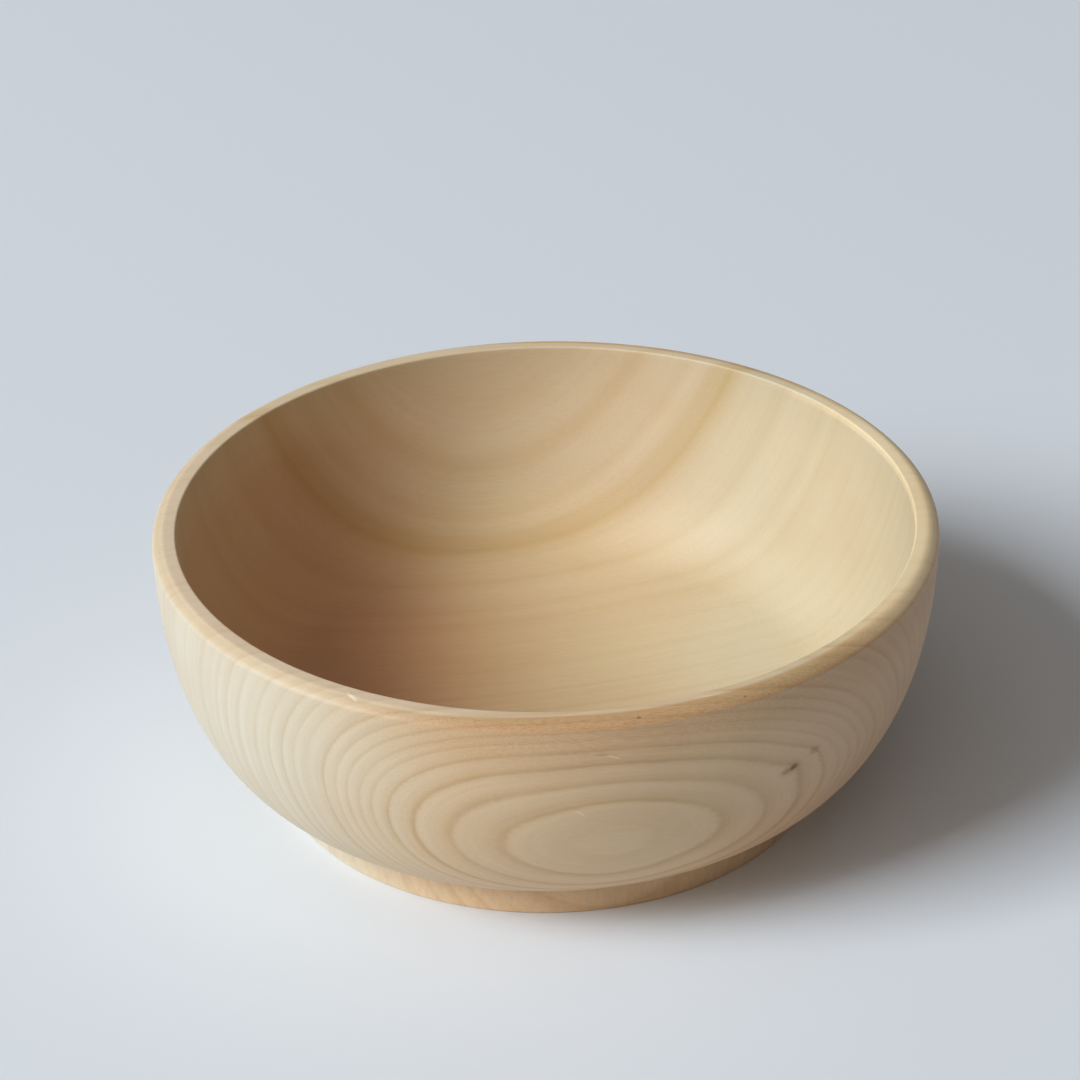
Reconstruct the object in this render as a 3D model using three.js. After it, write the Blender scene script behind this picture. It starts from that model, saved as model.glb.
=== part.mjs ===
// A small wooden bowl, turned on a lathe from one blank, standing on a low foot.
//
// Millimetres, +Z up. The origin is the centre of the foot, on the surface that the bowl stands on.
// The bowl is one solid of revolution. Its half section is drawn as a turner cuts it: the underside, the
// foot, the sweep of the outer wall, the rim, and then the hollow, whose wall is gauged from the outside.

import * as THREE from "three";

// Overall sizes
const RIM_DIAMETER = 150; // across the outside of the rim, the widest place
const HEIGHT = 55.4; // from the table to the top of the rim

// Foot
const FOOT_DIAMETER = 107;
const FOOT_HEIGHT = 6.5; // from the table to where the wall springs from the foot
const FOOT_ARRIS = 0.5; // the small chamfer on the foot's lower edge
const FOOT_COVE = 1.0; // the hollow corner where the wall springs from the foot
const FOOT_RING_WIDTH = 9; // the flat ring that touches the table, measured with its arris
const RECESS_DEPTH = 2.4; // how far the underside is hollowed inside that ring
const RECESS_COVE = 1.2; // the rounded inner corner of that hollow

// Outer wall: one sweep, low and full at the foot, upright at the rim
const SPRING_SLOPE = 19.4; // degrees above level, where the wall leaves the foot
const SPRING_REACH = 15.2; // how far the sweep keeps to that slope
const UPRIGHT_REACH = 24.8; // how far below the rim the sweep stays close to upright

// Rim
const BEVEL_WIDTH = 1.9; // the outer bevel, measured across the rim
const BEVEL_DROP = 0.9; // the outer bevel, measured down the wall
const INNER_ARRIS = 0.7; // the rounded inner edge

// Thickness of the wood
const WALL_AT_RIM = 4.6;
const WALL_AT_FOOT = 7.5;
const FLOOR_THICKNESS = 6.1; // at the centre, between the hollow and the underside

// How finely the curves are cut into flats
const FLATS_AROUND = 84; // round the bowl
const WALL_STEPS = 15;
const FLOOR_STEPS = 6;
const SMALL_CURVE_STEPS = 3;

const WOOD = new THREE.MeshStandardMaterial({
  name: "pale_wood",
  color: 0xdcc6a4,
  roughness: 0.6,
  metalness: 0,
});

const rimRadius = RIM_DIAMETER / 2;
const footRadius = FOOT_DIAMETER / 2;
const shoulder = HEIGHT - 2 * BEVEL_DROP; // where the bevel has run out into the wall
const SAME_PLACE = 1e-6; // two points nearer than this are one
const at = (radius, height) => new THREE.Vector2(radius, height);

// A rounded corner: a curve that leaves along one edge and arrives along the other.
function rounded(from, corner, to) {
  return new THREE.QuadraticBezierCurve(from, corner, to).getPoints(SMALL_CURVE_STEPS);
}

// The underside, from the axis out to the ring that stands on the table.
function underside() {
  const recessRadius = footRadius - FOOT_RING_WIDTH;
  return [
    at(0, RECESS_DEPTH),
    ...rounded(
      at(recessRadius - RECESS_COVE, RECESS_DEPTH),
      at(recessRadius, RECESS_DEPTH),
      at(recessRadius, RECESS_DEPTH - RECESS_COVE),
    ),
    at(recessRadius, 0),
    at(footRadius - FOOT_ARRIS, 0),
    at(footRadius, FOOT_ARRIS),
  ];
}

// The place on the outside, a given way up the first slope of the wall from the foot's corner.
function alongSpring(length) {
  const slope = THREE.MathUtils.degToRad(SPRING_SLOPE);
  return at(footRadius + length * Math.cos(slope), FOOT_HEIGHT + length * Math.sin(slope));
}

// The cove between foot and wall, from the foot upwards.
function footCove() {
  const corner = at(footRadius, FOOT_HEIGHT);
  return rounded(at(footRadius, FOOT_HEIGHT - FOOT_COVE), corner, alongSpring(FOOT_COVE));
}

// The sweep of the outer wall, from the cove up to the lower edge of the rim's bevel.
function outerSweep() {
  return new THREE.CubicBezierCurve(
    alongSpring(FOOT_COVE),
    alongSpring(SPRING_REACH),
    at(rimRadius, shoulder - UPRIGHT_REACH),
    at(rimRadius, shoulder),
  );
}

// The rim, from the wall's shoulder over the bevel and the flat to the inner edge.
function rim() {
  const innerRadius = rimRadius - WALL_AT_RIM;
  return [
    ...rounded(
      at(rimRadius, shoulder),
      at(rimRadius, HEIGHT - BEVEL_DROP),
      at(rimRadius - BEVEL_WIDTH, HEIGHT),
    ),
    ...rounded(
      at(innerRadius + INNER_ARRIS, HEIGHT),
      at(innerRadius, HEIGHT),
      at(innerRadius, HEIGHT - INNER_ARRIS),
    ),
  ];
}

// The wall of the hollow, from the rim down: the outer sweep gauged square to its surface, thickening
// evenly from the rim to the foot.
function hollowWall(sweep) {
  const points = [];
  for (let step = 0; step <= WALL_STEPS; step += 1) {
    const down = step / WALL_STEPS;
    const outside = sweep.getPoint(1 - down);
    const along = sweep.getTangent(1 - down);
    const thickness = THREE.MathUtils.lerp(WALL_AT_RIM, WALL_AT_FOOT, down);
    points.push(at(outside.x - along.y * thickness, outside.y + along.x * thickness));
  }
  return points;
}

// The floor of the hollow: it leaves the wall at the wall's own slope and is level at the axis.
function hollowFloor(wall) {
  const edge = wall.at(-1);
  const slope = edge.clone().sub(wall.at(-2)).normalize();
  const centre = at(0, RECESS_DEPTH + FLOOR_THICKNESS);
  const run = (centre.y - edge.y) / slope.y;
  const turn = at(edge.x + slope.x * run, centre.y);
  return new THREE.QuadraticBezierCurve(edge, turn, centre).getPoints(FLOOR_STEPS);
}

// The half section, once round from the axis below to the axis above, with no point twice.
function halfSection() {
  const sweep = outerSweep();
  const wall = hollowWall(sweep);
  const outline = [
    ...underside(),
    ...footCove(),
    ...sweep.getPoints(WALL_STEPS),
    ...rim(),
    ...wall,
    ...hollowFloor(wall),
  ];
  return outline.filter((point, place) => place === 0 || point.distanceTo(outline[place - 1]) > SAME_PLACE);
}

// The bowl, turned about its upright axis.
function turnedBowl() {
  const bowl = new THREE.Mesh(new THREE.LatheGeometry(halfSection(), FLATS_AROUND), WOOD);
  bowl.name = "bowl";
  bowl.rotation.x = Math.PI / 2;
  return bowl;
}

const woodenBowl = new THREE.Group();
woodenBowl.add(turnedBowl());

export default woodenBowl;
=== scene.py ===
import math
from collections import namedtuple

import bpy
import numpy as np
from mathutils import Matrix, Vector, noise

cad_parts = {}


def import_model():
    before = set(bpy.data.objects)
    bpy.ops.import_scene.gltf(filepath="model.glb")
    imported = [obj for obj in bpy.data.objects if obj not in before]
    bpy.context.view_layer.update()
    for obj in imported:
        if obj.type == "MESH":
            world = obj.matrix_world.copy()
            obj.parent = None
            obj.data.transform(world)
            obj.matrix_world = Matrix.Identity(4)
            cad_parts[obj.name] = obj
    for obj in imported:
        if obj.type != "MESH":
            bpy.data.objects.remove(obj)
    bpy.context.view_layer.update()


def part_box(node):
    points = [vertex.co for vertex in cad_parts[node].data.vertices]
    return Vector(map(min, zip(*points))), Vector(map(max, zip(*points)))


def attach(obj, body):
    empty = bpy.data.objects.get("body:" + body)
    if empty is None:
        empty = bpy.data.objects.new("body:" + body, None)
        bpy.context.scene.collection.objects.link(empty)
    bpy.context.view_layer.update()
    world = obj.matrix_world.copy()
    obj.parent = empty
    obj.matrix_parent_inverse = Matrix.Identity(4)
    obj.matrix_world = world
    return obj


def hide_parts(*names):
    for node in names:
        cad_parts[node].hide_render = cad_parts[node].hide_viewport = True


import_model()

# A small wooden bowl, turned from one blank of pale close-grained wood, standing on a low foot.
# Sizes are in millimetres, as a turner would state them, and become metres where a mesh is made.
# Azimuths are in degrees round the upright axis: 0 is the front, and they grow towards +X.
# "Right" is towards +X and "back" towards +Y, both measured from the axis.
MM = 0.001

# Overall sizes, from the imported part
low_corner, high_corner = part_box("bowl")
RIM_RADIUS = (high_corner[0] - low_corner[0]) / 2 / MM
HEIGHT = high_corner[2] / MM

# Foot
FOOT_RADIUS = 53.5
FOOT_HEIGHT = 6.5
FOOT_ARRIS = 0.5
FOOT_COVE = 1.0
FOOT_RING_WIDTH = 9.0
RECESS_RADIUS = FOOT_RADIUS - FOOT_RING_WIDTH
RECESS_DEPTH = 2.4
RECESS_COVE = 1.2
EASED_EDGE = 0.25  # how far sandpaper has rounded the sharp inner edge of the foot

# Outer wall
SPRING_SLOPE = math.radians(19.4)
SPRING_REACH = 15.2
UPRIGHT_REACH = 24.8

# Thickness of the wood
WALL_AT_RIM = 4.6
WALL_AT_FOOT = 7.5
FLOOR_THICKNESS = 6.1

# Rim
BEVEL_WIDTH = 1.9
BEVEL_DROP = 0.9
INNER_ARRIS = 0.45
INNER_RADIUS = RIM_RADIUS - WALL_AT_RIM
SHOULDER = HEIGHT - 2 * BEVEL_DROP
BEVEL_SHARE = 0.8  # the part of the bevel that is left when its upper edge has been rounded over
BEVEL_EASE = 0.5  # how far that rounding runs on to the flat of the rim
BEVEL_MIDDLE = (RIM_RADIUS - BEVEL_WIDTH / 3, HEIGHT - BEVEL_DROP / 2)
HAND_WAVE = 0.07  # the bevel was eased by hand, and its depth wanders by this much
HAND_WAVE_PACE = 4.5  # how quickly it wanders, in units of the noise for each radian
HAND_WAVE_REACH = 1.4  # the wander ends this far from the bevel's middle

# The log that the blank was cut from: its pith runs nearly left to right, in front of the bowl
PITH_POINT = (0.0, -93.1, 21.75)
PITH_YAW = math.radians(13.05)
PITH_TILT = math.radians(-5.68)
PITH_SAG_REACH = 60.0  # how far along the pith its bend is measured
PITH_SAG_SIDE = -3.5
PITH_SAG_UP = 2.3

# Growth rings that can be told apart: radius from the pith, and how strongly each one is drawn
GROWTH_RINGS = (
    (0.0, 0.3), (5.0, 0.4), (9.5, 0.5), (13.5, 0.5), (17.2, 0.5), (21.0, 0.2),
    (23.85, 0.85), (27.2, 0.75), (30.6, 1.0), (33.4, 0.75), (35.4, 0.4), (36.9, 0.45), (38.7, 0.5),
    (40.45, 0.45), (42.35, 0.65), (45.6, 0.2), (47.5, 0.35), (49.8, 0.55), (52.4, 0.38), (55.4, 0.44),
    (59.9, 0.25), (62.75, 0.34), (65.8, 0.22), (71.1, 0.3), (77.4, 0.14), (82.9, 0.1),
    (86.5, 0.14), (89.0, 0.2), (92.4, 0.14), (95.1, 0.2), (99.5, 0.14), (102.0, 0.2), (106.2, 0.1),
    (111.2, 0.14), (115.0, 0.1), (119.3, 0.1), (124.0, 0.1), (131.0, 0.1), (139.5, 0.1), (170.0, 0.0),
)
GROWTH_REACH = 170.0

# Wide soft bands far from the pith, seen inside the back wall: radius from the pith, and darkness
BANDS = (
    (0.0, 0.0), (124.5, 0.0), (126.8, 0.25), (128.8, 0.0), (131.5, 0.15), (134.0, 0.0), (137.5, 0.0),
    (139.5, 0.2), (141.5, 0.03), (144.8, 0.05), (146.8, 0.35), (148.1, 0.9), (149.2, 0.55), (149.9, 0.7),
    (151.0, 0.2), (152.2, 0.0), (153.6, 0.2), (155.2, 0.0), (157.0, 0.1), (158.4, 0.5), (159.4, 0.15),
    (160.8, 0.0), (163.0, 0.15), (166.0, 0.0), (170.0, 0.0),
)

# Places where the rings swell away from the pith or draw in: how far to the right, how high, by how much
# and how wide
SWELLS = (
    (-42, 29, 1.05, 7), (12, 34, -0.86, 7), (-18, 24, -0.46, 7), (24, 19, 0.78, 7), (0, 54, 0.43, 7),
    (42, 34, 0.57, 7), (60, 29, -1.57, 7), (-36, 54, -0.46, 7), (-36, 34, -0.47, 7), (24, 34, -0.26, 7),
    (-66, 54, 0.38, 7), (43.6, 35.4, -0.6, 2.6), (47.2, 36.8, -0.45, 2.4),
)
SWELLS_END = (-18.0, 12.0)  # the swells fade out between these distances towards the back
DEEP_WAVE = 0.6  # the rings far from the pith wave gently along it
DEEP_WAVE_LENGTH = 74.0
DEEP_WAVE_START = -17.0
DEEP_WAVE_REACH = (80.0, 140.0)  # radii from the pith between which that wave sets in

RAGGED = (0.4, 1.1)  # how far the fibres break the rings up, on the left and on the right
CURLY_REACH = (30.0, 58.0)  # that grows between these distances to the right

# Small marks: azimuth and height of the middle, half length and half width, how many degrees the length
# leans above level, how deep the mark is, and the tint that it gives the wood
Mark = namedtuple("Mark", "azimuth height length width lean depth tint")
WALL_MARKS = (
    Mark(36.6, 35.35, 1.1, 0.85, 25.0, 0.05, (0.48, 0.38, 0.31)),  # pin knot
    Mark(35.5, 35.0, 1.8, 0.8, 4.0, 0.02, (0.76, 0.67, 0.58)),  # its tail
    Mark(36.0, 35.1, 3.2, 1.9, 10.0, 0.0, (0.91, 0.86, 0.80)),  # its halo
    Mark(40.2, 37.15, 1.7, 1.1, -12.0, 0.0, (0.83, 0.73, 0.62)),  # fleck
    Mark(6.9, 48.7, 1.6, 0.16, -5.0, 0.02, (0.80, 0.73, 0.66)),  # dent
    Mark(8.6, 48.0, 1.6, 0.16, -24.0, 0.03, (1.25, 1.32, 1.40)),  # scratch
    Mark(4.2, 35.75, 1.5, 0.16, -43.0, 0.03, (1.18, 1.25, 1.30)),  # scratch
)
# On the rim the height is measured over its edge instead: from the edge inwards, less from it down
RIM_MARKS = (
    Mark(-28.1, 1.8, 2.0, 0.5, -33.0, 0.08, (1.22, 1.30, 1.42)),  # chip
    Mark(24.2, 2.8, 5.2, 0.16, -5.5, 0.02, (1.22, 1.28, 1.34)),  # a shallow scratch, and its pale tint a painted highlight
    Mark(12.2, 0.6, 0.5, 0.4, 0.0, 0.04, (0.52, 0.44, 0.38)),  # speck
    Mark(27.6, 0.1, 0.4, 0.35, 0.0, 0.04, (0.60, 0.52, 0.46)),  # speck
)

# How finely the section is drawn, in points on a stretch, before the rows of the mesh are picked from it
STRETCH_STEPS = 400
SWEEP_STEPS = 3200
FLOOR_STEPS = 1600
SAME_PLACE = 1e-9  # points nearer than this are one

# How finely the mesh is cut
COARSE_COLUMN = 2.3  # degrees
FINE_COLUMN = 0.24
MARK_MARGIN = 0.6  # the fine columns run on past a mark by this much
COARSE_ROW = 1.5
COARSE_MARGIN = 2.0  # the coarse rows end this far inside the recess
WALL_ROW = 0.75
EDGE_ROW = 0.14
EDGE_REACH = 1.3  # the rows are fine this close to an edge
MARK_ROW = 0.25
SAME_HEIGHT = 1e-6  # a row this close to the rim's height lies on its flat


def bezier(points, steps):
    """Points on the Bezier curve of two to four control points, ends included."""
    t = np.linspace(0, 1, steps + 1)[:, None]
    order = len(points) - 1
    return sum(
        math.comb(order, place) * t ** place * (1 - t) ** (order - place) * np.array(point, float)
        for place, point in enumerate(points)
    )


def stretch(*points):
    """A short stretch of the section: straight between two points, or rounding the middle one of three."""
    return bezier(points, STRETCH_STEPS)


def along_spring(length):
    """The place on the outside a given way up the first slope of the wall from the foot's corner."""
    return (FOOT_RADIUS + length * math.cos(SPRING_SLOPE), FOOT_HEIGHT + length * math.sin(SPRING_SLOPE))


def underside():
    """The section from the axis out to the ring that stands on the table."""
    cove_start = (RECESS_RADIUS - RECESS_COVE, RECESS_DEPTH)
    cove_end = (RECESS_RADIUS, RECESS_DEPTH - RECESS_COVE)
    edge_start = (RECESS_RADIUS, EASED_EDGE)
    edge_end = (RECESS_RADIUS + EASED_EDGE, 0)
    return [
        stretch((0, RECESS_DEPTH), cove_start),
        stretch(cove_start, (RECESS_RADIUS, RECESS_DEPTH), cove_end),
        stretch(cove_end, edge_start),
        stretch(edge_start, (RECESS_RADIUS, 0), edge_end),
        stretch(edge_end, (FOOT_RADIUS - FOOT_ARRIS, 0)),
    ]


def foot():
    """The rounded lower edge of the foot, its upright outside and the cove above it."""
    arris_end = (FOOT_RADIUS, FOOT_ARRIS)
    cove_start = (FOOT_RADIUS, FOOT_HEIGHT - FOOT_COVE)
    return [
        stretch((FOOT_RADIUS - FOOT_ARRIS, 0), (FOOT_RADIUS, 0), arris_end),
        stretch(arris_end, cove_start),
        stretch(cove_start, (FOOT_RADIUS, FOOT_HEIGHT), along_spring(FOOT_COVE)),
    ]


def outer_sweep():
    """The outer wall, from the cove up to the lower edge of the bevel."""
    points = [
        along_spring(FOOT_COVE),
        along_spring(SPRING_REACH),
        (RIM_RADIUS, SHOULDER - UPRIGHT_REACH),
        (RIM_RADIUS, SHOULDER),
    ]
    return bezier(points, SWEEP_STEPS)


def rim():
    """The bevel, its rounded upper edge, the flat of the rim and the rounded inner edge."""
    bevel_top = (RIM_RADIUS - BEVEL_WIDTH, HEIGHT)
    bevel = stretch((RIM_RADIUS, SHOULDER), (RIM_RADIUS, HEIGHT - BEVEL_DROP), bevel_top)
    bevel = bevel[:int(STRETCH_STEPS * BEVEL_SHARE)]
    flat_start = (RIM_RADIUS - BEVEL_WIDTH - BEVEL_EASE, HEIGHT)
    flat_end = (INNER_RADIUS + INNER_ARRIS, HEIGHT)
    return [
        bevel,
        stretch(bevel[-1], bevel_top, flat_start),
        stretch(flat_start, flat_end),
        stretch(flat_end, (INNER_RADIUS, HEIGHT), (INNER_RADIUS, HEIGHT - INNER_ARRIS)),
    ]


def hollow(sweep):
    """The hollow: its wall, gauged square to the outer sweep from the rim down, and its floor."""
    along = np.gradient(sweep, axis=0)
    along /= np.linalg.norm(along, axis=1, keepdims=True)
    inward = np.column_stack([-along[:, 1], along[:, 0]])
    down = np.linspace(1, 0, len(sweep))[:, None]
    wall = (sweep + inward * (WALL_AT_RIM + (WALL_AT_FOOT - WALL_AT_RIM) * down))[::-1]
    slope = wall[-1] - wall[-2]
    centre_height = RECESS_DEPTH + FLOOR_THICKNESS
    turn = wall[-1] + slope * (centre_height - wall[-1][1]) / slope[1]
    return [wall, bezier([wall[-1], turn, (0, centre_height)], FLOOR_STEPS)]


def half_section():
    """The section as radius and height, from the axis below, round the outside, to the axis above."""
    sweep = outer_sweep()
    outline = np.vstack([*underside(), *foot(), sweep, *rim(), *hollow(sweep)])
    apart = np.linalg.norm(np.diff(outline, axis=0), axis=1) > SAME_PLACE
    return outline[np.concatenate([[True], apart])]


def section_rows(outline):
    """Picks the rows of the mesh from the section, closer together at the edges and at the marks."""
    edges = np.array([
        (RECESS_RADIUS, RECESS_DEPTH), (RECESS_RADIUS, 0), (FOOT_RADIUS, 0), (FOOT_RADIUS, FOOT_HEIGHT),
        (RIM_RADIUS, SHOULDER + BEVEL_DROP), (RIM_RADIUS - BEVEL_WIDTH, HEIGHT), (INNER_RADIUS, HEIGHT),
    ])
    picked = [0]
    travelled = np.concatenate([[0], np.cumsum(np.linalg.norm(np.diff(outline, axis=0), axis=1))])
    for place in range(1, len(outline) - 1):
        radius, height = outline[place]
        step = COARSE_ROW if radius < RECESS_RADIUS - COARSE_MARGIN else WALL_ROW
        outside = travelled[place] < travelled[-1] / 2
        if outside and any(abs(height - mark.height) < mark.length for mark in WALL_MARKS):
            step = MARK_ROW
        if np.min(np.hypot(*(edges - outline[place]).T)) < EDGE_REACH:
            step = EDGE_ROW
        if travelled[place] - travelled[picked[-1]] >= step:
            picked.append(place)
    picked.append(len(outline) - 1)
    rows = outline[picked]
    slope = np.gradient(outline, axis=0)[picked]
    slope /= np.linalg.norm(slope, axis=1, keepdims=True)
    outward = np.column_stack([slope[:, 1], -slope[:, 0]])
    return rows, outward


def column_azimuths():
    """Azimuths of the mesh columns: even steps, with fine ones across the marks."""
    azimuths = []
    azimuth = -180.0
    while azimuth < 180 - COARSE_COLUMN / 2:
        azimuths.append(azimuth)
        fine = any(
            abs(azimuth - mark.azimuth) < math.degrees((mark.length + MARK_MARGIN) / RIM_RADIUS)
            for mark in WALL_MARKS + RIM_MARKS
        )
        azimuth += FINE_COLUMN if fine else COARSE_COLUMN
    return np.array(azimuths)


def mark_strength(mark, azimuth, height):
    """How far a point lies inside a mark: 1 at its middle, falling to 0 at its edge."""
    sideways = np.radians(azimuth - mark.azimuth) * RIM_RADIUS
    upwards = height - mark.height
    lean = math.radians(mark.lean)
    lengthways = (sideways * math.cos(lean) + upwards * math.sin(lean)) / mark.length
    crossways = (upwards * math.cos(lean) - sideways * math.sin(lean)) / mark.width
    return np.clip(1 - lengthways ** 2 - crossways ** 2, 0, 1)


def hand_wander(azimuth):
    """A slow even wander round the bowl, between 0 and 1, that meets itself."""
    around = math.radians(azimuth)
    place = Vector((math.sin(around), math.cos(around), 0)) * HAND_WAVE_PACE
    return min(max(0.5 + noise.noise(place), 0), 1)


def surface_depth(rows, azimuths):
    """How far the finished surface lies inside the drawn section, at every row and column."""
    azimuth, height = np.meshgrid(azimuths, rows[:, 1])
    radius = np.meshgrid(azimuths, rows[:, 0])[1]
    depth = np.zeros_like(radius)
    top = int(np.flatnonzero(rows[:, 1] > HEIGHT - SAME_HEIGHT)[-1])
    outside = (radius > FOOT_RADIUS) & (np.arange(len(rows))[:, None] <= top)
    for mark in WALL_MARKS:
        depth += np.where(outside, mark.depth * mark_strength(mark, azimuth, height), 0)
    over_edge = (RIM_RADIUS - radius) - (HEIGHT - height)
    near_rim = outside & (height > SHOULDER)
    for mark in RIM_MARKS:
        depth += np.where(near_rim, mark.depth * mark_strength(mark, azimuth, over_edge), 0)
    from_bevel = np.hypot(*(rows - BEVEL_MIDDLE).T)
    on_bevel = np.clip(1 - from_bevel / HAND_WAVE_REACH, 0, 1)
    wander = np.array([hand_wander(angle) for angle in azimuths])
    return depth + HAND_WAVE * on_bevel[:, None] * wander


def turned_bowl():
    """The bowl as one closed mesh, in metres."""
    rows, outward = section_rows(half_section())
    azimuths = column_azimuths()
    depth = surface_depth(rows, azimuths)
    radius = rows[:, :1] - outward[:, :1] * depth
    height = rows[:, 1:] - outward[:, 1:] * depth
    around = np.radians(azimuths)
    ring_points = np.stack([radius * np.sin(around), -radius * np.cos(around), height], axis=-1)[1:-1]
    columns = len(azimuths)
    count = len(ring_points)
    below = count * columns
    above = below + 1
    points = np.vstack([ring_points.reshape(-1, 3), [(0, 0, rows[0, 1])], [(0, 0, rows[-1, 1])]]) * MM
    index = np.arange(below).reshape(count, columns)
    onward = np.roll(index, -1, axis=1)
    quads = np.stack([index[:-1], onward[:-1], onward[1:], index[1:]], axis=-1).reshape(-1, 4)
    faces = quads.tolist()
    faces += [(below, right, left) for left, right in zip(index[0].tolist(), onward[0].tolist())]
    faces += [(above, left, right) for left, right in zip(index[-1].tolist(), onward[-1].tolist())]
    mesh = bpy.data.meshes.new("turned_bowl")
    mesh.from_pydata(points.tolist(), [], faces)
    mesh.polygons.foreach_set("use_smooth", [True] * len(mesh.polygons))
    mesh.update()
    piece = bpy.data.objects.new("turned_bowl", mesh)
    bpy.context.scene.collection.objects.link(piece)
    return piece


class Formula:
    """Writes a shader as formulas: each call adds its nodes and gives back an output."""

    def __init__(self, name):
        self.material = bpy.data.materials.new(name)
        self.material.use_nodes = True
        self.tree = self.material.node_tree
        self.shader = self.tree.nodes["Principled BSDF"]

    def put(self, socket, value):
        if isinstance(value, bpy.types.NodeSocket):
            self.tree.links.new(value, socket)
        else:
            socket.default_value = value

    def math(self, operation, *values, clamp=False):
        node = self.tree.nodes.new("ShaderNodeMath")
        node.operation = operation
        node.use_clamp = clamp
        for socket, value in zip(node.inputs, values):
            self.put(socket, value)
        return node.outputs[0]

    def product(self, first, *others):
        for other in others:
            first = self.math("MULTIPLY", first, other)
        return first

    def distance(self, across, up):
        """The length of the way that goes so far across and so far up."""
        squares = self.math("MULTIPLY_ADD", across, across, self.math("MULTIPLY", up, up))
        return self.math("SQRT", squares)

    def vector(self, operation, first, second=None):
        node = self.tree.nodes.new("ShaderNodeVectorMath")
        node.operation = operation
        self.put(node.inputs[0], first)
        if operation == "SCALE":
            self.put(node.inputs["Scale"], second)
        elif second is not None:
            self.put(node.inputs[1], second)
        return node.outputs["Value" if operation in ("DOT_PRODUCT", "LENGTH") else "Vector"]

    def combine(self, x, y, z):
        node = self.tree.nodes.new("ShaderNodeCombineXYZ")
        for socket, value in zip(node.inputs, (x, y, z)):
            self.put(socket, value)
        return node.outputs[0]

    def separate(self, vector):
        node = self.tree.nodes.new("ShaderNodeSeparateXYZ")
        self.put(node.inputs[0], vector)
        return node.outputs[0], node.outputs[1], node.outputs[2]

    def noise(self, vector, detail=2.0, roughness=0.5):
        node = self.tree.nodes.new("ShaderNodeTexNoise")
        self.put(node.inputs["Vector"], vector)
        self.put(node.inputs["Scale"], 1.0)
        self.put(node.inputs["Detail"], detail)
        self.put(node.inputs["Roughness"], roughness)
        return node.outputs[0]

    def grain(self, in_log, along, across, **settings):
        """Noise that is drawn out along the log."""
        return self.noise(self.vector("MULTIPLY", in_log, (along, across, across)), **settings)

    def step(self, value, low, high, start=0.0, end=1.0):
        """The start number below the low value, the end number above the high one, and soft between."""
        node = self.tree.nodes.new("ShaderNodeMapRange")
        node.interpolation_type = "SMOOTHSTEP"
        names = ("Value", "From Min", "From Max", "To Min", "To Max")
        for name, number in zip(names, (value, low, high, start, end)):
            self.put(node.inputs[name], number)
        return node.outputs[0]

    def fade(self, value, reach, end=0.0):
        """1 before the reach, the end number behind it, and soft between."""
        return self.step(value, *reach, 1.0, end)

    def curve(self, value, points):
        """Straight lines from point to point."""
        node = self.tree.nodes.new("ShaderNodeFloatCurve")
        line = node.mapping.curves[0]
        while len(line.points) < len(points):
            line.points.new(1.0, 1.0)
        for point, place in zip(line.points, points):
            point.location = place
            point.handle_type = "VECTOR"
        node.mapping.update()
        self.put(node.inputs["Value"], value)
        return node.outputs[0]

    def ramp(self, value, stops):
        node = self.tree.nodes.new("ShaderNodeValToRGB")
        elements = node.color_ramp.elements
        while len(elements) < len(stops):
            elements.new(1.0)
        for element, (place, colour) in zip(elements, stops):
            element.position = place
            element.color = (*colour, 1)
        self.put(node.inputs[0], value)
        return node.outputs[0]

    def blend(self, kind, factor, first, second):
        node = self.tree.nodes.new("ShaderNodeMix")
        node.data_type = "RGBA"
        node.blend_type = kind
        self.put(node.inputs["Factor"], factor)
        sockets = [socket for socket in node.inputs if socket.type == "RGBA"]
        for socket, value in zip(sockets, (first, second)):
            self.put(socket, value if isinstance(value, bpy.types.NodeSocket) else (*value, 1))
        return [socket for socket in node.outputs if socket.type == "RGBA"][0]

    def tinted(self, colour, tint, *covers):
        """The colour multiplied by the tint, as far as all the covers reach."""
        return self.blend("MULTIPLY", self.product(*covers), colour, tint)

    def grey(self, tone):
        return self.combine(tone, tone, tone)

    def bump(self, height, distance):
        node = self.tree.nodes.new("ShaderNodeBump")
        self.put(node.inputs["Distance"], distance)
        self.put(node.inputs["Height"], height)
        return node.outputs[0]


# Where the wood's two sides meet, inside the thickness of the wall
FLOOR_LEVEL = 8.0  # below this height all the wood counts as outside
WALL_LEVELS = (9.5, 15.0, 20.0, 25.0, 31.0, 38.0, 46.0, HEIGHT)
MIDDLE_BLUR = 0.8  # how far the tones of the two sides run into each other

# Colours of the wood, as linear light, and tones that multiply them
WHITE = (1.0, 1.0, 1.0)
NOISE_MIDDLE = 0.5
WOOD = (0.69, 0.53, 0.33)
RING_TONES = (  # through the growth of one year, from line to line
    (0.00, (0.79, 0.69, 0.57)),
    (0.07, (0.83, 0.75, 0.64)),
    (0.16, (0.895, 0.835, 0.75)),
    (0.32, (0.945, 0.91, 0.865)),
    (0.52, (0.985, 0.975, 0.965)),
    (0.74, WHITE),
    (0.88, (0.97, 0.955, 0.935)),
    (1.00, (0.79, 0.69, 0.57)),
)
RING_LOSS_ON_FOOT = 0.1  # the rings are drawn weaker there by this share
BAND_TONE = (0.84, 0.75, 0.55)
DRIFT_TONES = ((0.3, (0.97, 0.945, 0.91)), (0.5, WHITE), (0.7, (1.0, 1.02, 1.03)))

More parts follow.
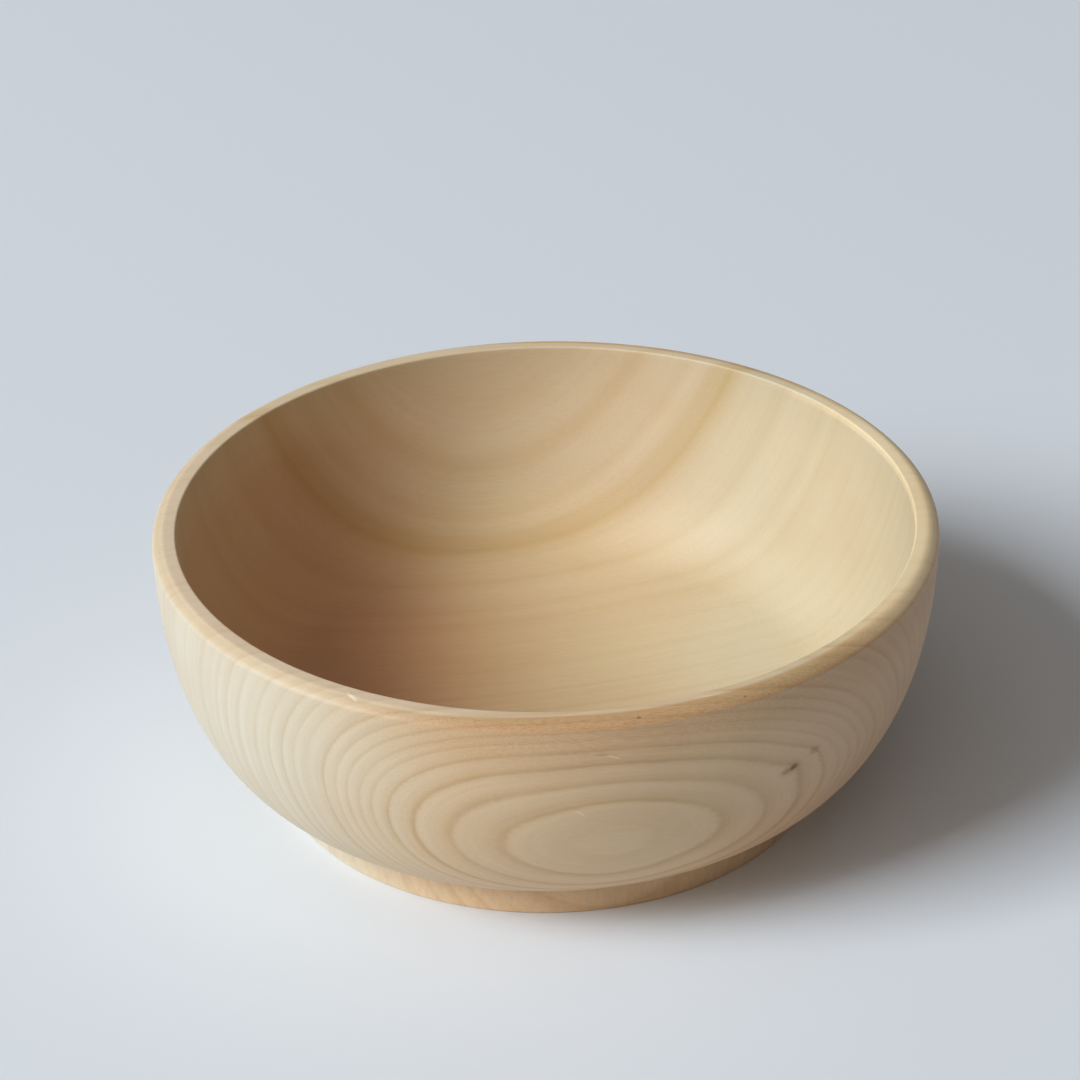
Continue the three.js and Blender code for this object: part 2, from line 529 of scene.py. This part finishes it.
# Grains: how quickly the noise changes along the log and across it, per millimetre. The tone under each
# says what it does to the wood: between its first two values the tone goes from the third to the fourth.
RAGGED_GRAIN = dict(along=0.12, across=1.6, detail=3.0)
PATCHY_GRAIN = dict(along=0.035, across=0.09, detail=2.0)  # makes the rings fainter here and there
PATCHY_TONE = (0.3, 0.65, 0.72, 1.1)
FIBRE_GRAIN = dict(along=0.07, across=3.4, detail=4.0, roughness=0.65)
FIBRE_TONE = (0.3, 0.7, 0.95, 1.01)
DASH_GRAIN = dict(along=0.55, across=7.0, detail=2.0)  # short dark dashes
DASH_TONE = (0.64, 0.74, 1.0, 0.9)
DRIFT_GRAIN = dict(along=0.02, across=0.05, detail=3.0)  # slow changes of tone
SCUFF_GRAIN = dict(along=0.22, across=5.5, detail=3.0, roughness=0.7)  # the scuffed wood under the rim
SCUFF_TONE = (0.36, 0.66, 0.88, 1.04)
CUT_GRAIN = dict(along=0.5, across=4.0, detail=3.0, roughness=0.7)  # the fibres cut by the bevel
CUT_TONE = (0.3, 0.6, 1.0, 0.7)
WORN_GRAIN = dict(along=0.8, across=5.0, detail=3.0, roughness=0.75)  # the rough lower edge of the bevel
WORN_TONE = (0.42, 0.6, 1.0, 0.84)

# Fine lines between the rings, along the pith, away from it and round it
THIN_PACE = (0.012, 1.35, 1.3)
THIN_NOISE = dict(detail=4.0, roughness=0.62)
THIN_REACH = (0.34, 0.66)
THIN_INSIDE = 0.97  # how dark they are inside the bowl
THIN_OUTSIDE = 0.945

# Upright streaks on the foot's outside: how quickly they change round it and up it
STREAK_PACE = (FOOT_RADIUS * 0.9, 0.22, 0.0)
STREAK_NOISE = dict(detail=3.0, roughness=0.6)
STREAK_TONE = (0.34, 0.62, 0.94, 1.01)

# The foot's outside, and the bowl above its shoulder
FOOT_FACE_HEIGHTS = (FOOT_HEIGHT - 0.9, FOOT_HEIGHT - 0.2)
FOOT_FACE_RADII = (FOOT_RADIUS - 0.9, FOOT_RADIUS - 0.3)
ABOVE_FOOT = (FOOT_HEIGHT + 0.5, FOOT_HEIGHT + 2.5)
RIM_HEIGHTS = (SHOULDER, SHOULDER + 1.0)

# Tints of the outside, most of them painted light and shade. Each reach is where a tint sets in or ends, to
# the right unless its name says else.
LIT_SIDE_TINT = (1.07, 1.20, 1.44)  # painted light and sheen: the left, which faces the window, made paler and bluer
LIT_SIDE_REACH = (-64.0, -12.0)
WARM_REACH = (-45.0, -12.0)  # from here rightwards the outside, its cut edges and the foot take warmer tints; on the wall that is painted shade, the warmer tone away from the window
# painted shade: the outside away from the window, from the front rightwards, made warmer and redder
FRONT_SHADE_TINT = (1.07, 0.98, 0.915)
# painted shade: the right of the wall, turned from the window, made darker
RIGHT_SHADE_TINT = (0.87, 0.86, 0.91)
RIGHT_SHADE_REACH = (25.0, 60.0)
LOW_SHADE_TINT = (0.96, 0.87, 0.84)  # painted shade: darker and warmer low at the right
LOW_SHADE_REACH = (15.0, 45.0)
LOW_SHADE_HEIGHTS = (18.0, 36.0)
SHOULDER_TINT = (0.96, 0.88, 0.80)
SHOULDER_HEIGHTS = (42.0, 53.0)
FOOT_TINT = (1.16, 1.11, 1.08)

# Tints of the hollow: painted shade at the left and low down, painted light at the upper back and the right
# painted shade: the left of the hollow, which the rim shades from the window, made redder and darker
LEFT_SHADE_TINT = (0.96, 0.73, 0.65)
LEFT_SHADE_MIDDLE = (-42.0, 24.0)  # how far to the right and how far back the middle of that painted shade lies
LEFT_SHADE_REACH = (8.0, 54.0)  # distances from there
LEFT_SHADE_HEIGHTS = (HEIGHT - 16.0, HEIGHT - 3.0)
LEFT_SHADE_AT_RIM = 0.2
UNDER_RIM = (HEIGHT - 1.4, HEIGHT - 0.4)
BOTTOM_SHADE_TINT = (1.0, 0.96, 0.87)  # painted shade: warmer low down, at the middle and the left
BOTTOM_SHADE_HEIGHTS = (20.0, 32.0)
BOTTOM_SHADE_REACH = (5.0, 40.0)
DEEP_SHADE_TINT = (0.86, 0.81, 0.81)  # painted shade: the darkest place, low at the left
DEEP_SHADE_MIDDLE = (-40.0, 34.0)
DEEP_SHADE_REACH = (6.0, 30.0)
BACK_LIGHT_TINT = (1.10, 1.10, 1.13)  # painted light: the upper back, where the window falls, made paler
BACK_LIGHT_REACH = (5.0, 45.0)  # distances towards the back
BACK_LIGHT_HEIGHTS = (24.0, 44.0)
# painted light: the right of the hollow, where the window falls, made paler and bluer
RIGHT_LIGHT_TINT = (0.93, 1.0, 1.03)
RIGHT_LIGHT_REACH = (15.0, 50.0)

# Tints of the rim: a warm band on the bevel, painted light that pales the rim at the right, and painted
# light on the flat
EDGE_TINT = (0.82, 0.59, 0.38)
EDGE_RADII = (RIM_RADIUS - BEVEL_WIDTH - 0.1, RIM_RADIUS - BEVEL_WIDTH + 0.7)
EDGE_HEIGHTS = (SHOULDER - 0.3, SHOULDER + 0.9)
EDGE_RAGGED = 0.9  # how far the fibres make the band's upper edge wander
EDGE_WIDER = (-24.0, 4.0, 0.0, 1.2)  # to the right of these places the band is wider by the last number
EDGE_END = (50.0, 68.0)  # the band fades between these distances to the right
EDGE_REST = 0.25  # what is left of it there
WORN_RADII = (RIM_RADIUS - 2.6, RIM_RADIUS - 1.4)
# painted light: the rim at the right, turned from the window, made paler
RIM_LIGHT_TINT = (1.28, 1.26, 1.22)
RIM_LIGHT_REACH = (44.0, 66.0)
FLAT_LIGHT_TINTS = ((1.15, 1.14, 1.22), (1.11, 1.05, 1.0))  # painted light on the flat, which faces up, at its left and at its right
FLAT_LIGHT_REACH = (-35.0, 15.0)
FLAT_LIGHT_BACK = (10.0, 50.0)  # those tones fade out between these distances towards the back
FLAT_LIGHT_HEIGHTS = (HEIGHT - 0.4, HEIGHT - 0.05)

# Marks: each fades between these shares of its size, squared, and those of the rim end at the shoulder
MARK_EDGE = (0.1, 1.1)
MARK_HEIGHTS = (SHOULDER - 0.1, SHOULDER + 0.1)

# Surface
ROUGH_INSIDE = 0.62
ROUGH_OUTSIDE = 0.54
FIBRE_SHINE = 0.06
FIBRE_RELIEF = 0.02  # in height
TURNING_RELIEF = 0.008  # the lines that the tool leaves round the bowl
TURNING_PACE = 3.0


def log_place(wood, place):
    """Where a point lies in the log: along the pith, to its side and above it."""
    level = math.cos(PITH_TILT)
    along_axis = Vector((math.cos(PITH_YAW) * level, math.sin(PITH_YAW) * level, math.sin(PITH_TILT)))
    side_axis = Vector((-math.sin(PITH_YAW), math.cos(PITH_YAW), 0))
    up_axis = along_axis.cross(side_axis)
    from_pith = wood.vector("SUBTRACT", place, PITH_POINT)
    along = wood.vector("DOT_PRODUCT", from_pith, along_axis)
    reach = wood.math("DIVIDE", along, PITH_SAG_REACH)
    bend = wood.math("MULTIPLY", reach, reach)
    side = wood.vector("DOT_PRODUCT", from_pith, side_axis)
    side = wood.math("MULTIPLY_ADD", bend, -PITH_SAG_SIDE, side)
    up = wood.vector("DOT_PRODUCT", from_pith, up_axis)
    up = wood.math("MULTIPLY_ADD", bend, -PITH_SAG_UP, up)
    return along, side, up


def ring_radius(wood, place, along, side, up):
    """Distance from the pith, with the swells and waves of a real log."""
    radius = wood.distance(side, up)
    flat = wood.vector("MULTIPLY", place, (1, 0, 1))
    swell = 0.0
    for right, height, amount, size in SWELLS:
        away = wood.vector("LENGTH", wood.vector("SUBTRACT", flat, (right, 0, height)))
        spread = wood.math("DIVIDE", wood.math("MULTIPLY", away, away), -2.0 * size ** 2)
        swell = wood.math("MULTIPLY_ADD", wood.math("EXPONENT", spread), amount, swell)
    front = wood.fade(wood.separate(place)[1], SWELLS_END)
    radius_here = wood.math("MULTIPLY_ADD", swell, front, radius)
    from_start = wood.math("SUBTRACT", along, DEEP_WAVE_START)
    phase = wood.math("MULTIPLY", from_start, 2 * math.pi / DEEP_WAVE_LENGTH)
    deep = wood.step(radius, *DEEP_WAVE_REACH, 0.0, -DEEP_WAVE)
    return wood.math("MULTIPLY_ADD", wood.math("COSINE", phase), deep, radius_here)


def middle_of_wall():
    """Where the middle of the wall lies, as shares of the height and of the rim's radius."""
    outline = half_section()
    top = int(np.argmax(outline[:, 0]))
    outer = outline[:top]
    inner = outline[top:][::-1]
    points = [(0.0, 0.0), (FLOOR_LEVEL / HEIGHT, 0.0)]
    for height in WALL_LEVELS:
        outer_radius = np.interp(height, outer[:, 1], outer[:, 0])
        inner_radius = np.interp(height, inner[:, 1], inner[:, 0])
        points.append((height / HEIGHT, (outer_radius + inner_radius) / 2 / RIM_RADIUS))
    return points


class Spot:
    """Where a point of the wood lies in the log and on the bowl, and how far it belongs to each face."""

    def __init__(self, wood):
        coordinates = wood.tree.nodes.new("ShaderNodeTexCoord")
        place = wood.vector("SCALE", coordinates.outputs["Object"], 1 / MM)
        self.along, side, up = log_place(wood, place)
        self.in_log = wood.combine(self.along, side, up)
        self.from_pith = ring_radius(wood, place, self.along, side, up)
        self.turn = wood.math("ARCTAN2", up, side)
        self.right, self.back, self.height = wood.separate(place)
        self.from_axis = wood.distance(self.right, self.back)
        self.azimuth = wood.math("ARCTAN2", self.right, wood.math("MULTIPLY", self.back, -1.0))
        middle = wood.curve(wood.math("DIVIDE", self.height, HEIGHT), middle_of_wall())
        from_middle = wood.math("MULTIPLY_ADD", middle, -RIM_RADIUS, self.from_axis)
        self.outside = wood.step(from_middle, -MIDDLE_BLUR, MIDDLE_BLUR)
        self.inside = wood.fade(from_middle, (-MIDDLE_BLUR, MIDDLE_BLUR))
        self.warm = wood.step(self.right, *WARM_REACH)
        self.foot_face = wood.product(
            wood.fade(self.height, FOOT_FACE_HEIGHTS), wood.step(self.from_axis, *FOOT_FACE_RADII),
        )


def growth_rings(wood, spot):
    """The tone of the growth rings, a little ragged where the fibres cross them, and of the wide bands."""
    ragged = wood.math("SUBTRACT", wood.grain(spot.in_log, **RAGGED_GRAIN), NOISE_MIDDLE)
    ragged_amount = wood.step(spot.right, *CURLY_REACH, *RAGGED)
    radius = wood.math("MULTIPLY_ADD", ragged, ragged_amount, spot.from_pith)
    share = wood.math("DIVIDE", radius, GROWTH_REACH)
    last = len(GROWTH_RINGS) - 1
    years = [(ring[0] / GROWTH_REACH, number / last) for number, ring in enumerate(GROWTH_RINGS)]
    season = wood.math("FRACT", wood.math("MULTIPLY", wood.curve(share, years), float(last)))
    drawn = wood.curve(share, [(ring / GROWTH_REACH, strength) for ring, strength in GROWTH_RINGS])
    drawn = wood.product(drawn, wood.step(wood.grain(spot.in_log, **PATCHY_GRAIN), *PATCHY_TONE))
    on_foot = wood.math("MULTIPLY_ADD", spot.foot_face, -RING_LOSS_ON_FOOT, 1.0)
    drawn = wood.math("MULTIPLY", drawn, on_foot, clamp=True)
    rings = wood.blend("MIX", drawn, WHITE, wood.ramp(season, RING_TONES))
    bands = wood.curve(share, [(band / GROWTH_REACH, darkness) for band, darkness in BANDS])
    return wood.tinted(rings, BAND_TONE, bands)


def fine_lines(wood, spot, fibre):
    """The tone of the fine lines between the rings, the fibres along the log and the short dashes."""
    thin_place = wood.vector("MULTIPLY", wood.combine(spot.along, spot.from_pith, spot.turn), THIN_PACE)
    thin_dark = wood.math("MULTIPLY_ADD", spot.outside, THIN_OUTSIDE - THIN_INSIDE, THIN_INSIDE)
    return wood.product(
        wood.step(wood.noise(thin_place, **THIN_NOISE), *THIN_REACH, thin_dark, 1.0),
        wood.step(fibre, *FIBRE_TONE),
        wood.step(wood.grain(spot.in_log, **DASH_GRAIN), *DASH_TONE),
    )


def left_spot(wood, spot, middle, reach):
    """1 round a place at the left of the hollow, and evenly from there to the front, and 0 away from it."""
    back = wood.math("MAXIMUM", spot.back, middle[1])
    away = wood.vector("SUBTRACT", wood.combine(spot.right, back, 0.0), (*middle, 0.0))
    return wood.fade(wood.vector("LENGTH", away), reach)


def wall_tones(wood, spot, colour):
    """Tints the wall: painted light and shade on both sides, scuffing below the rim, streaks on the foot.
    """
    right, back, height = spot.right, spot.back, spot.height
    inside, outside, warm = spot.inside, spot.outside, spot.warm
    left = left_spot(wood, spot, LEFT_SHADE_MIDDLE, LEFT_SHADE_REACH)
    left_shade_heights = wood.fade(height, LEFT_SHADE_HEIGHTS, LEFT_SHADE_AT_RIM)
    deep = left_spot(wood, spot, DEEP_SHADE_MIDDLE, DEEP_SHADE_REACH)
    shoulder = wood.step(height, *SHOULDER_HEIGHTS)
    scuff = wood.step(wood.grain(spot.in_log, **SCUFF_GRAIN), *SCUFF_TONE)
    streak_place = wood.vector("MULTIPLY", wood.combine(spot.azimuth, height, 0.0), STREAK_PACE)
    streak = wood.step(wood.noise(streak_place, **STREAK_NOISE), *STREAK_TONE)
    # Most of these tints are painted light and shade
    tints = (
        (LIT_SIDE_TINT, outside, wood.fade(right, LIT_SIDE_REACH)),
        (LEFT_SHADE_TINT, inside, left, left_shade_heights, wood.fade(height, UNDER_RIM)),
        (BOTTOM_SHADE_TINT, inside, wood.fade(height, BOTTOM_SHADE_HEIGHTS), wood.fade(right, BOTTOM_SHADE_REACH)),
        (DEEP_SHADE_TINT, inside, deep, wood.fade(height, LEFT_SHADE_HEIGHTS)),
        (BACK_LIGHT_TINT, inside, wood.step(back, *BACK_LIGHT_REACH), wood.step(height, *BACK_LIGHT_HEIGHTS)),
        (RIGHT_LIGHT_TINT, inside, wood.step(right, *RIGHT_LIGHT_REACH)),
        (FRONT_SHADE_TINT, outside, warm),
        (RIGHT_SHADE_TINT, outside, wood.step(right, *RIGHT_SHADE_REACH), wood.fade(height, RIM_HEIGHTS)),
        (LOW_SHADE_TINT, outside, wood.fade(height, LOW_SHADE_HEIGHTS), wood.step(right, *LOW_SHADE_REACH),
         wood.step(height, *ABOVE_FOOT)),
        (SHOULDER_TINT, outside, warm, shoulder),
        (wood.grey(scuff), outside, warm, shoulder),
        (wood.grey(streak), spot.foot_face),
    )
    for tint, *covers in tints:
        colour = wood.tinted(colour, tint, *covers)
    return colour


def edge_tones(wood, spot, colour):
    """Tints the bevel, the outside of the foot, and the rim's flat and right end with painted light."""
    cut = wood.grain(spot.in_log, **CUT_GRAIN)
    wander = wood.math("SUBTRACT", cut, NOISE_MIDDLE)
    wander = wood.math("MULTIPLY_ADD", wander, EDGE_RAGGED, spot.from_axis)
    wander = wood.math("ADD", wander, wood.step(spot.right, *EDGE_WIDER))
    bevel = wood.product(
        wood.step(wander, *EDGE_RADII),
        wood.step(spot.height, *EDGE_HEIGHTS),
        spot.warm,
        wood.step(cut, *CUT_TONE),
        wood.fade(spot.right, EDGE_END, EDGE_REST),
    )
    worn = wood.step(wood.grain(spot.in_log, **WORN_GRAIN), *WORN_TONE)
    flat_light_tint = wood.blend("MIX", wood.step(spot.right, *FLAT_LIGHT_REACH), *FLAT_LIGHT_TINTS)
    off_bevel = wood.math("SUBTRACT", 1.0, bevel)
    tints = (
        (EDGE_TINT, bevel),
        (wood.grey(worn), bevel, wood.step(spot.from_axis, *WORN_RADII)),
        (RIM_LIGHT_TINT, wood.step(spot.right, *RIM_LIGHT_REACH), wood.step(spot.height, *RIM_HEIGHTS)),
        (flat_light_tint, wood.fade(spot.back, FLAT_LIGHT_BACK), wood.step(spot.height, *FLAT_LIGHT_HEIGHTS), off_bevel),
        (FOOT_TINT, spot.foot_face, spot.warm),
    )
    for tint, *covers in tints:
        colour = wood.tinted(colour, tint, *covers)
    return colour


def mark_cover(wood, mark, azimuth, height):
    """How far a point lies inside a mark, as the mesh has it: 1 at the middle, 0 from the edge outwards."""
    lean = math.radians(mark.lean)
    from_mark = wood.math("SUBTRACT", azimuth, math.radians(mark.azimuth))
    sideways = wood.math("MULTIPLY", from_mark, RIM_RADIUS)
    upwards = wood.math("SUBTRACT", height, mark.height)
    lengthways = wood.math("MULTIPLY", sideways, math.cos(lean))
    lengthways = wood.math("MULTIPLY_ADD", upwards, math.sin(lean), lengthways)
    crossways = wood.math("MULTIPLY", sideways, -math.sin(lean))
    crossways = wood.math("MULTIPLY_ADD", upwards, math.cos(lean), crossways)
    lengthways = wood.math("DIVIDE", lengthways, mark.length)
    crossways = wood.math("DIVIDE", crossways, mark.width)
    lengthways_squared = wood.math("MULTIPLY", lengthways, lengthways)
    return wood.fade(wood.math("MULTIPLY_ADD", crossways, crossways, lengthways_squared), MARK_EDGE)


def mark_tones(wood, spot, colour):
    """Tints the small marks on the wall and on the rim; the rim's scratch has a painted highlight."""
    over_edge = wood.math("SUBTRACT", spot.height, wood.math("ADD", spot.from_axis, HEIGHT - RIM_RADIUS))
    near_rim = wood.step(spot.height, *MARK_HEIGHTS)
    faces = ((WALL_MARKS, spot.height, spot.outside), (RIM_MARKS, over_edge, near_rim))
    for marks, upwards, face in faces:
        for mark in marks:
            colour = wood.tinted(colour, mark.tint, mark_cover(wood, mark, spot.azimuth, upwards), face)
    return colour


def wood_material():
    """Solid wood: rings round the pith, fibres along it, face tones, many of them painted light and shade.
    """
    wood = Formula("turned_wood")
    spot = Spot(wood)
    fibre = wood.grain(spot.in_log, **FIBRE_GRAIN)
    colour = wood.tinted(WOOD, growth_rings(wood, spot), 1.0)
    colour = wood.tinted(colour, wood.grey(fine_lines(wood, spot, fibre)), 1.0)
    drift = wood.grain(spot.in_log, **DRIFT_GRAIN)
    colour = wood.tinted(colour, wood.ramp(drift, DRIFT_TONES), 1.0)
    colour = wall_tones(wood, spot, colour)
    colour = edge_tones(wood, spot, colour)
    colour = mark_tones(wood, spot, colour)
    wood.put(wood.shader.inputs["Base Color"], colour)

    smooth = wood.math("MULTIPLY_ADD", spot.outside, ROUGH_OUTSIDE - ROUGH_INSIDE, ROUGH_INSIDE)
    wood.put(wood.shader.inputs["Roughness"], wood.math("MULTIPLY_ADD", fibre, -FIBRE_SHINE, smooth))
    turning = wood.vector("SCALE", wood.combine(0.0, spot.from_axis, spot.height), TURNING_PACE)
    relief = wood.math("MULTIPLY", fibre, FIBRE_RELIEF)
    relief = wood.math("MULTIPLY_ADD", wood.noise(turning), TURNING_RELIEF, relief)
    wood.put(wood.shader.inputs["Normal"], wood.bump(relief, MM))
    return wood.material


# The camera, at the photograph's viewing angle
IMAGE_SIDE = 1080
FOCAL_PIXELS = 3460
SENSOR = 36.0
CAMERA_PLACE = Vector((0, -576.34, 379.36)) * MM
CAMERA_AIM = Vector((-1.05, 0, 49.30)) * MM
CAMERA_ROLL = math.radians(-1.066)
NEAREST_SEEN = 0.05  # metres


def camera():
    lens = bpy.data.cameras.new("camera")
    lens.sensor_width = SENSOR
    lens.lens = FOCAL_PIXELS / IMAGE_SIDE * SENSOR
    lens.clip_start = NEAREST_SEEN
    view = bpy.data.objects.new("camera", lens)
    aim = (CAMERA_AIM - CAMERA_PLACE).to_track_quat("-Z", "Y").to_matrix()
    turn = aim @ Matrix.Rotation(CAMERA_ROLL, 3, "Z")
    view.matrix_world = Matrix.Translation(CAMERA_PLACE) @ turn.to_4x4()
    bpy.context.scene.collection.objects.link(view)
    bpy.context.scene.camera = view


# Light and floor, in metres
FLOOR_COLOUR = (0.79, 0.815, 0.84)
FLOOR_ROUGHNESS = 0.9
FLOOR_SHINE = 0.2
FLOOR_SIDE = 6.0


def floor():
    half = FLOOR_SIDE / 2
    corners = [(-half, -half, 0), (half, -half, 0), (half, half, 0), (-half, half, 0)]
    mesh = bpy.data.meshes.new("floor")
    mesh.from_pydata(corners, [], [(0, 1, 2, 3)])
    piece = bpy.data.objects.new("floor", mesh)
    cloth = Formula("floor")
    cloth.shader.inputs["Base Color"].default_value = (*FLOOR_COLOUR, 1)
    cloth.shader.inputs["Roughness"].default_value = FLOOR_ROUGHNESS
    cloth.shader.inputs["Specular IOR Level"].default_value = FLOOR_SHINE
    mesh.materials.append(cloth.material)
    bpy.context.scene.collection.objects.link(piece)


def lamp(name, azimuth, elevation, distance, size, power, colour):
    """A square soft light that faces the middle of the bowl, from an azimuth and an angle of height."""
    light = bpy.data.lights.new(name, "AREA")
    light.shape = "SQUARE"
    light.size = size
    light.energy = power
    light.color = colour
    source = bpy.data.objects.new(name, light)
    around, up = math.radians(azimuth), math.radians(elevation)
    direction = Vector((math.sin(around) * math.cos(up), -math.cos(around) * math.cos(up), math.sin(up)))
    middle = Vector((0, 0, HEIGHT / 2 * MM))
    source.location = middle + direction * distance
    source.rotation_euler = direction.to_track_quat("Z", "Y").to_euler()
    bpy.context.scene.collection.objects.link(source)


def world(strength, colour, backdrop):
    """Even light from all round, and a pale backdrop for what the camera and reflections see."""
    surroundings = bpy.data.worlds.new("surroundings")
    bpy.context.scene.world = surroundings
    surroundings.use_nodes = True
    tree = surroundings.node_tree
    light = tree.nodes["Background"]
    light.inputs["Color"].default_value = (*colour, 1)
    light.inputs["Strength"].default_value = strength
    seen = tree.nodes.new("ShaderNodeBackground")
    seen.inputs["Color"].default_value = (*backdrop, 1)
    rays = tree.nodes.new("ShaderNodeLightPath")
    sees_backdrop = rays.outputs["Is Camera Ray"]
    for kind in ("Is Glossy Ray", "Is Transmission Ray"):
        either = tree.nodes.new("ShaderNodeMath")
        either.operation = "MAXIMUM"
        tree.links.new(sees_backdrop, either.inputs[0])
        tree.links.new(rays.outputs[kind], either.inputs[1])
        sees_backdrop = either.outputs[0]
    mix = tree.nodes.new("ShaderNodeMixShader")
    tree.links.new(sees_backdrop, mix.inputs[0])
    tree.links.new(light.outputs[0], mix.inputs[1])
    tree.links.new(seen.outputs[0], mix.inputs[2])
    tree.links.new(mix.outputs[0], tree.nodes["World Output"].inputs[0])


bowl = turned_bowl()
bowl.data.materials.append(wood_material())
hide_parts("bowl")
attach(bowl, "root")

floor()
lamp("window", azimuth=-63, elevation=37, distance=6.0, size=2.8, power=358, colour=(0.92, 1.0, 1.09))
lamp("room", azimuth=-40, elevation=55, distance=6.0, size=7.5, power=75, colour=(1.0, 0.96, 0.91))
world(strength=0.12, colour=(0.96, 0.90, 0.86), backdrop=(0.68, 0.72, 0.76))
camera()
bpy.context.scene.view_settings.view_transform = "Standard"
